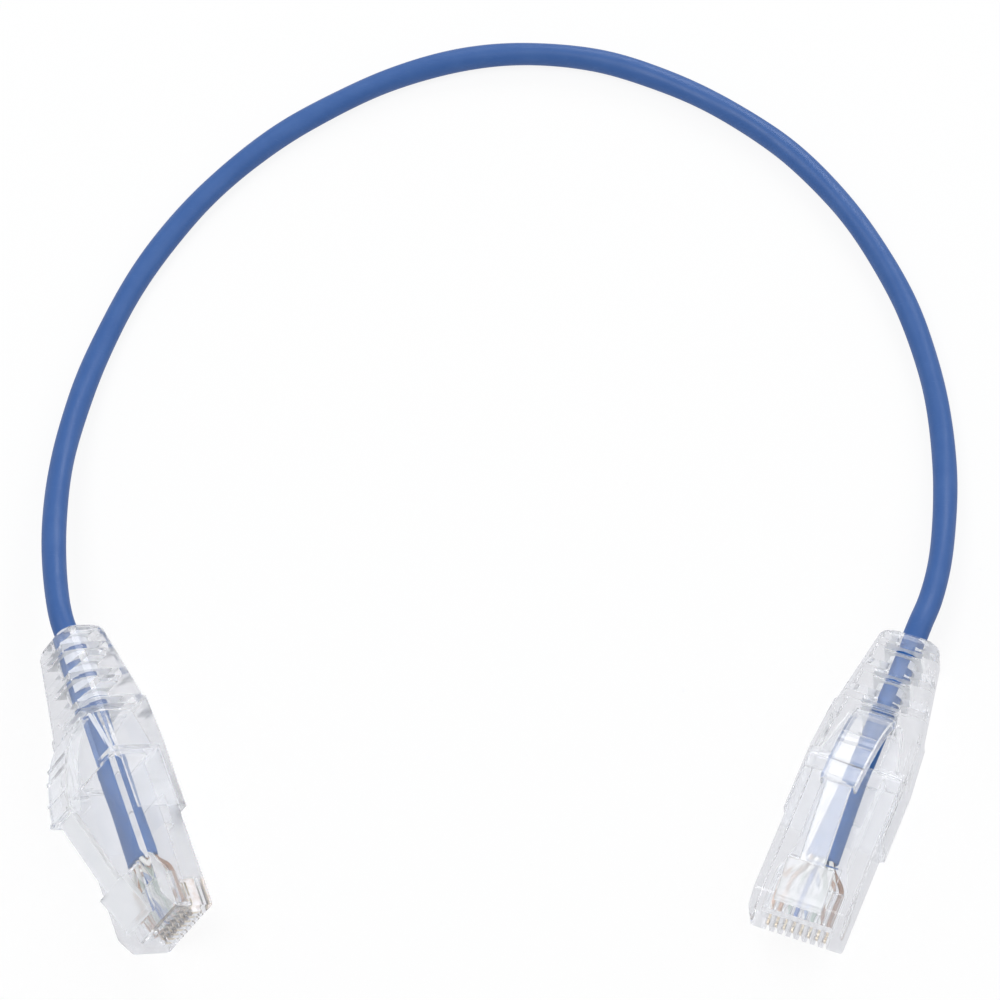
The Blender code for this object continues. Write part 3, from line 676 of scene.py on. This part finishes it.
def bake_modifiers(piece: bpy.types.Object) -> None:
    """Gives a piece the mesh that its modifiers make, and takes them off."""
    shaped = piece.evaluated_get(bpy.context.evaluated_depsgraph_get())
    piece.data = bpy.data.meshes.new_from_object(shaped)
    piece.modifiers.clear()


@dataclass(frozen=True)
class EdgeBreak:
    """How far a moulded piece's sharp edges are rounded.

    Edges past the angle sharp are rounded, and shading breaks at edges past the angle crease. Faces
    within the angle flat of each other are joined first.
    """

    width: float
    segments: int = 2
    sharp: float = math.radians(28.0)
    crease: float = math.radians(40.0)
    flat: float = math.radians(0.6)
    weld: float = 0.0005 * MM
    split_weld: float = 0.001 * MM

    def clean_mesh(self, node: str) -> bpy.types.Mesh:
        """Copies a CAD node's mesh and joins its flat faces.

        Args:
            node: The CAD node's name.

        Returns:
            The copy.
        """
        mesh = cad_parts[node].data.copy()
        mesh.name = f"{node}_skin"
        bm = bmesh.new()
        bm.from_mesh(mesh)
        bmesh.ops.remove_doubles(bm, verts=bm.verts, dist=self.weld)
        bmesh.ops.dissolve_limit(bm, angle_limit=self.flat, verts=bm.verts, edges=bm.edges)
        bm.to_mesh(mesh)
        bm.free()
        return mesh

    def split(self, mesh: bpy.types.Mesh, planes: list[Plane]) -> None:
        """Parts a mesh's faces along planes.

        Args:
            mesh: The mesh.
            planes: A point and a normal for each plane.
        """
        bm = bmesh.new()
        bm.from_mesh(mesh)
        for point, facing in planes:
            everything = [*bm.verts, *bm.edges, *bm.faces]
            bmesh.ops.bisect_plane(
                bm, geom=everything, plane_co=point, plane_no=facing, dist=self.split_weld
            )
        bm.to_mesh(mesh)
        bm.free()

    def finer_copy(
        self,
        node: str,
        second_finish: FaceTest | None = None,
        splits: list[Plane] | None = None,
    ) -> bpy.types.Object:
        """Copies a CAD node and rounds its sharp edges.

        Args:
            node: The CAD node's name.
            second_finish: Tells from a face's middle and normal whether it takes the second finish.
            splits: Planes that part faces where the finish changes, as a point and a normal.

        Returns:
            The finer piece, which stands for the node.
        """
        piece = link_mesh(f"{node}_skin", self.clean_mesh(node))
        rounding = piece.modifiers.new("rounded_edges", "BEVEL")
        rounding.width = self.width
        rounding.segments = self.segments
        rounding.limit_method = "ANGLE"
        rounding.angle_limit = self.sharp
        rounding.use_clamp_overlap = True
        bake_modifiers(piece)
        self.split(piece.data, splits or [])
        for face in piece.data.polygons:
            face.use_smooth = True
            face.material_index = int(bool(second_finish and second_finish(face.center, face.normal)))
        piece.data.set_sharp_from_angle(angle=self.crease)
        evenness = piece.modifiers.new("flat_faces_stay_flat", "WEIGHTED_NORMAL")
        evenness.keep_sharp = True
        bake_modifiers(piece)
        return piece


# ---------------------------------------------------------------- plugs


class Side(Enum):
    """The two ends of the cable."""

    LEFT = "a"
    RIGHT = "b"


@dataclass(frozen=True)
class PlugPose:
    """Where a plug lies: the middle of its front face and its two turns, in degrees."""

    side: Side
    front: Place
    heading: float
    roll: float

    @property
    def tag(self) -> str:
        """The letter that ends the names of this end's nodes."""
        return self.side.value

    def matrix(self) -> Matrix:
        """The plug's own frame in the scene."""
        turn = Matrix.Rotation(math.radians(self.heading), 4, "Z")
        return Matrix.Translation(self.front) @ turn @ Matrix.Rotation(math.radians(self.roll), 4, "Y")

    def spot(self, x: float, y: float, z: float) -> Vector:
        """A point of the plug's own frame in the scene."""
        return self.matrix() @ Vector((x, y, z))

    def own_view(self, middle: Vector, normal: Vector) -> tuple[Vector, Vector]:
        """Turns a face into the plug's own frame.

        Args:
            middle: The face's middle in the scene.
            normal: Its normal.

        Returns:
            Both in the plug's frame.
        """
        placed = self.matrix()
        return placed.inverted() @ middle, placed.to_3x3().inverted() @ normal


# A face looks along an axis where its normal has more of that axis than this.
SQUARE_ON = 0.9


@dataclass
class JacketEnd:
    """The jacket inside plug and boot: oval under the clamp, round behind it.

    The cut edge is rounded over the length cut, by the depth inset. The steps are those of the oval
    stretch, of the swell to round and of the round stretch.
    """

    pose: PlugPose
    front: float
    rear: float = 40.2 * MM
    wide: float = 4.1 * MM
    tall: float = 2.5 * MM
    flat: float = 6.3 * MM
    swell: float = 5.0 * MM
    cord_radius: float = 1.5 * MM
    tuck: float = 0.012 * MM
    cut: float = 0.3 * MM
    cut_middle: float = 0.12 * MM
    inset: float = 0.18 * MM
    steps: tuple[int, int, int] = (6, 16, 12)
    sides: int = 40

    def stations(self) -> list[float]:
        """Distances of the rings from the cut end."""
        oval, swell, rear = self.steps
        round_start = self.flat + self.swell
        round_run = self.rear - self.front - self.flat - self.swell
        stations = [0.0, self.cut_middle, self.cut]
        stations += [self.cut + (self.flat - self.cut) * i / oval for i in range(1, oval + 1)]
        stations += [self.flat + self.swell * i / swell for i in range(1, swell + 1)]
        stations += [round_start + round_run * i / rear for i in range(1, rear + 1)]
        return stations

    def ring(self, station: float) -> list[Vector]:
        """The jacket's outline at a distance from its cut end.

        Args:
            station: The distance.

        Returns:
            The outline's points in the scene.
        """
        rise = ease(min(max((station - self.flat) / self.swell, 0.0), 1.0))
        spread = min(station / (self.flat + self.swell), 1.0)
        half_x = self.wide / 2 + (self.cord_radius - self.tuck - self.wide / 2) * spread
        half_z = self.tall / 2 + (self.cord_radius - self.tuck - self.tall / 2) * rise
        if station < self.cut:
            inset = self.inset * (1 - math.sqrt(1 - (1 - station / self.cut) ** 2))
            half_x, half_z = half_x - inset, half_z - inset
        angles = [math.tau * k / self.sides for k in range(self.sides)]
        along = self.front + station
        return [self.pose.spot(half_x * math.cos(a), along, half_z * math.sin(a)) for a in angles]

    def build(self, wardrobe: Wardrobe) -> None:
        """Builds and dresses the jacket's end.

        Args:
            wardrobe: The finishes.
        """
        name = f"jacket_end_{self.pose.tag}"
        stations = self.stations()
        jacket = ringed_tube(f"{name}_skin", [self.ring(station) for station in stations], stations)
        # The darker jacket is painted shade under the plastic.
        wardrobe.dress(jacket, "painted_shade_jacket")
        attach(jacket, "cable")
        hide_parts(name)


@dataclass
class ModularPlug:
    """The clear plug with its latch, contacts, comb, conductors and jacket end."""

    pose: PlugPose
    edges: EdgeBreak = EdgeBreak(0.11 * MM, segments=3)
    blade_edges: EdgeBreak = EdgeBreak(0.03 * MM)
    positions: int = 8
    pitch: float = 1.02 * MM
    wire_diameter: float = 0.6 * MM
    wire_row_z: float = -0.55 * MM
    wire_front: float = 1.75 * MM
    wire_straight: float = 4.0 * MM
    comb_rear: float = 5.95 * MM
    jacket_front: float = 9.2 * MM
    wire_overlap: float = 0.4 * MM
    wire_exit_pitch: float = 0.8 * MM
    wire_exit_rise: float = 0.5 * MM
    fan_steps: int = 10
    curve_steps: int = 4
    wire_sides: int = 16
    core_ends: tuple[float, float] = (-0.05 * MM, 0.06 * MM)
    core_radius: float = 0.13 * MM
    core_sides: int = 12
    slots_rear: float = 6.6 * MM
    slots_half: float = 4.4 * MM
    slots_top: float = 0.3 * MM

    def build(self, wardrobe: Wardrobe) -> None:
        """Builds and dresses every piece of the plug.

        Args:
            wardrobe: The finishes.
        """
        self.shell(wardrobe)
        self.contacts(wardrobe)
        self.conductors(wardrobe)
        JacketEnd(self.pose, self.jacket_front).build(wardrobe)

    def shell(self, wardrobe: Wardrobe) -> None:
        """Builds and dresses housing, latch and comb, with rounded edges.

        Args:
            wardrobe: The finishes.
        """
        tag = self.pose.tag
        parts = (
            (f"housing_{tag}", "cable", ("clear_housing", "slot_walls"), self.slot_wall),
            (f"latch_{tag}", f"latch_arm_{tag}", ("clear_latch",), None),
            (f"wire_comb_{tag}", "cable", ("clear_housing",), None),
        )
        for node, body, finishes, second_finish in parts:
            piece = self.edges.finer_copy(node, second_finish)
            wardrobe.dress(piece, *finishes)
            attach(piece, body)
            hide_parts(node)

    def slot_wall(self, middle: Vector, normal: Vector) -> bool:
        """Whether a housing face is a wall of the narrow contact slots, which bend light less.

        Args:
            middle: The face's middle in the scene.
            normal: Its normal.

        Returns:
            True for such a face.
        """
        spot, facing = self.pose.own_view(middle, normal)
        in_slots = spot.y < self.slots_rear and abs(spot.x) < self.slots_half and spot.z < self.slots_top
        return in_slots and (abs(facing.x) > SQUARE_ON or facing.z < -SQUARE_ON)

    def blade_side(self, middle: Vector, normal: Vector) -> bool:
        """Whether a contact's face is one of its flat sides, which carry no gold."""
        return abs(self.pose.own_view(middle, normal)[1].x) > SQUARE_ON

    def contacts(self, wardrobe: Wardrobe) -> None:
        """Builds the blades, gold-plated on their edges and nickel-plated on their sides.

        Args:
            wardrobe: The finishes.
        """
        for number in range(1, self.positions + 1):
            name = f"contact_{self.pose.tag}{number}"
            blade = self.blade_edges.finer_copy(name, self.blade_side)
            wardrobe.dress(blade, "gold_plate", "nickel_side")
            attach(blade, "cable")
            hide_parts(name)

    def wire_stops(self, index: int) -> list[Vector]:
        """A conductor's path in the scene, from its tip to the jacket.

        Args:
            index: The conductor's number, from 0.

        Returns:
            The path's points.
        """
        row = (index - (self.positions - 1) / 2) * self.pitch
        pair, member = divmod(index, 2)
        exit_x = (pair - (self.positions / 2 - 1) / 2) * self.wire_exit_pitch
        exit_z = self.wire_exit_rise * (1 - 2 * member)
        stops = [(row, self.wire_front, self.wire_row_z), (row, self.wire_straight, self.wire_row_z)]
        run = self.jacket_front + self.wire_overlap - self.comb_rear
        for step in range(self.fan_steps + 1):
            share = step / self.fan_steps
            stops.append((
                row + (exit_x - row) * ease(share),
                self.comb_rear + run * share,
                self.wire_row_z + (exit_z - self.wire_row_z) * ease(share),
            ))
        return [self.pose.spot(*stop) for stop in stops]

    def conductors(self, wardrobe: Wardrobe) -> None:
        """Builds eight insulated conductors with bare copper at their cut tips.

        Args:
            wardrobe: The finishes.
        """
        for index, insulation in enumerate(INSULATIONS):
            name = f"wire_{self.pose.tag}{index + 1}"
            line = smooth_line(self.wire_stops(index), self.curve_steps)
            wire = swept_tube(
                f"{name}_insulation", line, lambda travelled, angle: self.wire_diameter / 2, self.wire_sides
            )
            wardrobe.dress(wire, insulation.name)
            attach(wire, "cable")
            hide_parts(name)
            ahead = (line[0] - line[1]).normalized()
            core_line = [line[0] + ahead * reach for reach in self.core_ends]
            core = swept_tube(
                f"{name}_core", core_line, lambda travelled, angle: self.core_radius, self.core_sides
            )
            wardrobe.dress(core, "bare_copper")
            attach(core, "cable")


@dataclass
class SlipOnBoot:
    """The clear boot with its strain relief and the hood over the latch."""

    pose: PlugPose
    edges: EdgeBreak = EdgeBreak(0.16 * MM, segments=3)
    relief_start: float = 28.9 * MM
    relief_end: float = 41.3 * MM
    matt_bore: float = 2.0 * MM
    matt_reach: float = 2.6 * MM
    # The chamber's stretch, whose upper corners carry a painted highlight.
    chamber_front: float = 21.7 * MM
    chamber_rear: float = 28.5 * MM
    slots: int = 6
    first_slot: float = 29.65 * MM
    slot_pitch: float = 2.0 * MM
    slot_half: float = 0.475 * MM
    clear_strip: float = 1.1 * MM
    corner_share: float = 0.3

    def painted_highlight_corner(self, spot: Vector, facing: Vector) -> bool:
        """Whether a face is in one of the upper rounded corners inside the chamber, which get the whitish
        matt finish as a painted highlight, standing in for an overhead lamp's reflection.

        Args:
            spot: The face's middle in the plug's frame.
            facing: Its normal there.

        Returns:
            True for such a face.
        """
        inward = facing.x * spot.x + facing.z * spot.z < 0.0
        rounded = min(abs(facing.x), abs(facing.z)) > self.corner_share
        return self.chamber_front < spot.y < self.chamber_rear and spot.z > 0.0 and inward and rounded

    def matt_or_painted_highlight_face(self, middle: Vector, normal: Vector) -> bool:
        """Whether a face is a window's wall, the rings' bore beside the top strip, or a chamber corner.

        Args:
            middle: The face's middle in the scene.
            normal: Its normal.

        Returns:
            True for such a face: the relief's faces, which the mould leaves matt, and the chamber corners,
                whose matt finish is a painted highlight.
        """
        spot, facing = self.pose.own_view(middle, normal)
        wall = abs(facing.y) > SQUARE_ON and max(abs(spot.x), abs(spot.z)) < self.matt_reach
        beside = math.hypot(spot.x, spot.z) < self.matt_bore and abs(spot.x) > self.clear_strip
        in_slot = any(abs(spot.y - middle_y) < self.slot_half for middle_y in self.slot_middles())
        in_relief = self.relief_start < spot.y < self.relief_end
        return in_relief and (wall or (beside and not in_slot)) or self.painted_highlight_corner(spot, facing)

    def slot_middles(self) -> list[float]:
        """Where the relief's windows lie along the plug."""
        return [self.first_slot + number * self.slot_pitch for number in range(self.slots)]

    def splits(self) -> list[Plane]:
        """The planes that end the matt parts: round the cord, and at both sides of each window.

        Returns:
            A point and a normal for each plane.
        """
        placed = self.pose.matrix()
        turn = placed.to_3x3()
        planes = []
        for sign in (-1.0, 1.0):
            for axis in (Vector((1.0, 0.0, 0.0)), Vector((0.0, 0.0, 1.0))):
                planes.append((placed @ (axis * sign * self.matt_reach), turn @ axis))
            along = Vector((0.0, 1.0, 0.0))
            for middle in self.slot_middles():
                planes.append((placed @ (along * (middle + sign * self.slot_half)), turn @ along))
        return planes

    def build(self, wardrobe: Wardrobe) -> None:
        """Builds and dresses the boot and its hood.

        Args:
            wardrobe: The finishes.
        """
        tag = self.pose.tag
        parts = (
            (f"boot_{tag}", "cable", "clear_boot"),
            (f"boot_tongue_{tag}", f"hood_{tag}", "clear_hood"),
        )
        for node, body, finish in parts:
            piece = self.edges.finer_copy(node, self.matt_or_painted_highlight_face, self.splits())
            # The second finish is matt on the relief, and a painted highlight in the chamber's corners.
            wardrobe.dress(piece, finish, "matt_and_painted_highlight")
            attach(piece, body)
            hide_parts(node)


# ---------------------------------------------------------------- cord


@dataclass
class FreeCord:
    """The cord between the boots, on its route in millimetres: x, y and lift off the table."""

    ends: tuple[PlugPose, PlugPose]
    diameter: float = 3.0 * MM
    table_gap: float = 0.04 * MM
    boot_end: float = 40.8 * MM
    lead: float = 2.5 * MM
    tucked: float = 1.6 * MM
    length: float = 233.0 * MM
    twist_lay: float = 24.0 * MM
    twist_swell: float = 0.034 * MM
    twist_tuck: float = 0.02 * MM
    second_swell: float = 0.5
    second_lay: float = 1.7
    curve_steps: int = 16
    sides: int = 36
    route: tuple[Place, ...] = (
        (-52.7, 26.3, 5.0), (-53.4, 35.4, 3.8), (-53.0, 44.5, 2.3), (-51.5, 53.5, 1.0),
        (-49.0, 62.4, 0.1), (-45.5, 70.9, 0.0), (-40.9, 79.0, 0.0), (-35.3, 86.3, 0.0),
        (-28.7, 92.8, 0.0), (-21.2, 98.2, 0.0), (-13.1, 102.6, 0.0), (-4.4, 105.6, 0.0),
        (4.8, 106.6, 0.0), (13.9, 105.5, 0.0), (22.6, 102.3, 0.0), (30.6, 97.7, 0.0),
        (37.8, 91.9, 0.0), (43.8, 84.9, 0.0), (48.6, 77.0, 0.0), (52.3, 68.5, 0.0),
        (54.7, 59.6, 0.0), (55.9, 50.5, 0.1), (55.9, 41.2, 0.8), (54.9, 32.1, 1.9),
        (53.3, 25.7, 2.6),
    )

    def centreline(self) -> list[Vector]:
        """The cord's smooth centreline, from inside one boot's mouth to inside the other's.

        Returns:
            Points close together along it.
        """
        left, right = self.ends
        rest = self.diameter / 2 + self.table_gap
        stops = [left.spot(0.0, self.boot_end, 0.0), left.spot(0.0, self.boot_end + self.lead, 0.0)]
        stops += [Vector((x * MM, y * MM, rest + lift * MM)) for x, y, lift in self.route]
        stops += [right.spot(0.0, self.boot_end + self.lead, 0.0), right.spot(0.0, self.boot_end, 0.0)]
        line = smooth_line(stops, self.curve_steps)
        head = left.spot(0.0, self.boot_end - self.tucked, 0.0)
        tail = right.spot(0.0, self.boot_end - self.tucked, 0.0)
        return [head, *line, tail]

    def radius(self, travelled: float, angle: float) -> float:
        """The jacket's radius, with the faint swell of the twisted pairs under it.

        Args:
            travelled: Distance along the cord.
            angle: Angle round it.

        Returns:
            The radius.
        """
        turn = math.tau * travelled / self.twist_lay
        swell = math.cos(2 * angle + turn) + self.second_swell * math.cos(3 * angle - self.second_lay * turn)
        return self.diameter / 2 - self.twist_tuck + self.twist_swell * swell

    def build(self, wardrobe: Wardrobe) -> None:
        """Args:
            wardrobe: The finishes.
        """
        line = self.centreline()
        cord = swept_tube("cord_jacket", line, self.radius, self.sides)
        wardrobe.dress(cord, "blue_jacket")
        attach(cord, "cable")
        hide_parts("cord")
        start = self.ends[0].spot(0.0, self.boot_end, 0.0)


# ---------------------------------------------------------------- studio


@dataclass(frozen=True)
class SoftLamp:
    """A large square lamp aimed at the cable, with its share of the plain light there."""

    name: str
    place: Place
    size: float
    share: float

    def build(self, target: Vector) -> None:
        """Adds the lamp, so bright that it gives its share of plain light.

        Args:
            target: The point that it is aimed at.
        """
        lamp = bpy.data.lights.new(self.name, "AREA")
        lamp.size = self.size
        away = Vector(self.place) - target
        lamp.energy = self.share * math.pi**2 * away.length_squared
        holder = bpy.data.objects.new(self.name, lamp)
        holder.location = self.place
        holder.rotation_euler = away.to_track_quat("Z", "Y").to_euler()
        bpy.context.scene.collection.objects.link(holder)


@dataclass(frozen=True)
class Studio:
    """Camera, lamps, world and floor."""

    target: Place = (1.05 * MM, 41.75 * MM, 0.0)
    elevation: float = 61.60
    distance: float = 620.0 * MM
    lens: float = 180.47
    sensor: float = 36.0
    floor_half: float = 2.0
    floor_glow: float = 0.88
    world_light: float = 0.50
    horizon: float = 0.94
    world_tint: Colour = (0.97, 0.985, 1.0)
    floor_tone: Colour = (0.93, 0.93, 0.93)
    glass_bounces: int = 64
    glass_tone: Colour = (0.745, 0.75, 0.78)
    lamps: tuple[SoftLamp, ...] = (
        SoftLamp("key_lamp", place=(-0.33, -0.02, 0.78), size=0.38, share=0.34),
        SoftLamp("fill_lamp", place=(0.55, 0.1, 0.6), size=0.5, share=0.14),
        SoftLamp("back_lamp", place=(0.25, 0.75, 0.5), size=0.4, share=0.30),
    )

    def build(self) -> None:
        """Builds the whole studio."""
        self.camera()
        self.world()
        self.floor()
        for lamp in self.lamps:
            lamp.build(Vector(self.target))
        bpy.context.scene.view_settings.view_transform = "Standard"
        tracing = bpy.context.scene.cycles
        tracing.max_bounces = self.glass_bounces
        tracing.transmission_bounces = self.glass_bounces
        tracing.glossy_bounces = self.glass_bounces
        tracing.transparent_max_bounces = self.glass_bounces
        LOG.info("studio built")

    def camera(self) -> None:
        """The camera at the photograph's viewing angle."""
        data = bpy.data.cameras.new("photo_camera")
        data.lens = self.lens
        data.sensor_width = self.sensor
        data.clip_start = 0.01
        data.clip_end = 20.0
        camera = bpy.data.objects.new("photo_camera", data)
        tilt = math.radians(self.elevation)
        back = Vector((0.0, -math.cos(tilt), math.sin(tilt)))
        camera.location = Vector(self.target) + back * self.distance
        camera.rotation_euler = (math.pi / 2 - tilt, 0.0, 0.0)
        bpy.context.scene.collection.objects.link(camera)
        bpy.context.scene.camera = camera

    def seen_rays(self, board: NodeBoard) -> bpy.types.NodeSocket:
        """A mask of the rays that show a backdrop, and light nothing by way of a matt surface.

        Args:
            board: The nodes of the world or the floor.

        Returns:
            The mask: camera, glossy and transmission rays with no diffuse bounce before them.
        """
        path = board.add("LightPath")
        first = board.maths("MAXIMUM", path.outputs["Is Camera Ray"], path.outputs["Is Glossy Ray"])
        shown = board.maths("MAXIMUM", first, path.outputs["Is Transmission Ray"])
        direct = board.maths("LESS_THAN", path.outputs["Diffuse Depth"], 0.5)
        return board.maths("MULTIPLY", shown, direct)

    def world(self) -> None:
        """A plain soft world: white to the camera, grey in the clear plastic, and darker low down there."""
        world = bpy.data.worlds.new("soft_studio")
        world.use_nodes = True
        world.node_tree.nodes.clear()
        bpy.context.scene.world = world
        board = NodeBoard(world.node_tree)
        parts = board.add("SeparateXYZ", {0: board.add("TexCoord").outputs["Generated"]})
        rise = board.remap(parts.outputs["Z"], {"From Min": 0.05, "From Max": 0.75})
        low = tuple(tone * self.horizon for tone in self.glass_tone)
        around = board.blend(rise, low, self.glass_tone)
        seen = board.add("LightPath").outputs["Is Camera Ray"]
        light = board.add("Background", {"Color": self.world_tint, "Strength": self.world_light})
        backdrop = board.add("Background", {"Color": board.blend(seen, around, WHITE), "Strength": 1.0})
        mixed = board.mix(self.seen_rays(board), light, backdrop)
        board.add("OutputWorld", {"Surface": mixed.outputs[0]})

    def floor(self) -> None:
        """A plain pale floor that shows white, grey in the clear plastic, and keeps a soft shadow."""
        bm = bmesh.new()
        bmesh.ops.create_grid(bm, x_segments=4, y_segments=4, size=self.floor_half)
        mesh = bpy.data.meshes.new("pale_floor")
        bm.to_mesh(mesh)
        bm.free()
        floor = link_mesh("pale_floor", mesh)
        material, board = fresh_material("pale_floor")
        matt = board.add("BsdfPrincipled", {"Base Color": self.floor_tone, "Roughness": 0.9})
        seen = board.add("LightPath").outputs["Is Camera Ray"]
        toned = board.blend(seen, self.glass_tone, WHITE)
        glow = board.add("Emission", {"Color": toned, "Strength": 1.0})
        level = board.remap(seen, {"To Min": 1.0, "To Max": self.floor_glow})
        share = board.maths("MULTIPLY", self.seen_rays(board), level)
        board.show(board.mix(share, matt, glow))
        mesh.materials.append(material)


def main() -> None:
    """Builds the studio, the cord, both plugs and both boots, in that order."""
    logging.basicConfig(level=logging.INFO, format="%(name)s: %(message)s")
    Studio().build()
    wardrobe = Wardrobe()
    left = PlugPose(Side.LEFT, front=(-37.65 * MM, -19.33 * MM, 7.305 * MM), heading=19.1, roll=-59.0)
    right = PlugPose(Side.RIGHT, front=(35.55 * MM, -17.93 * MM, 4.759 * MM), heading=-22.2, roll=-5.5)
    FreeCord((left, right)).build(wardrobe)
    for pose in (left, right):
        ModularPlug(pose).build(wardrobe)
        SlipOnBoot(pose).build(wardrobe)


if __name__ == "__main__":
    main()
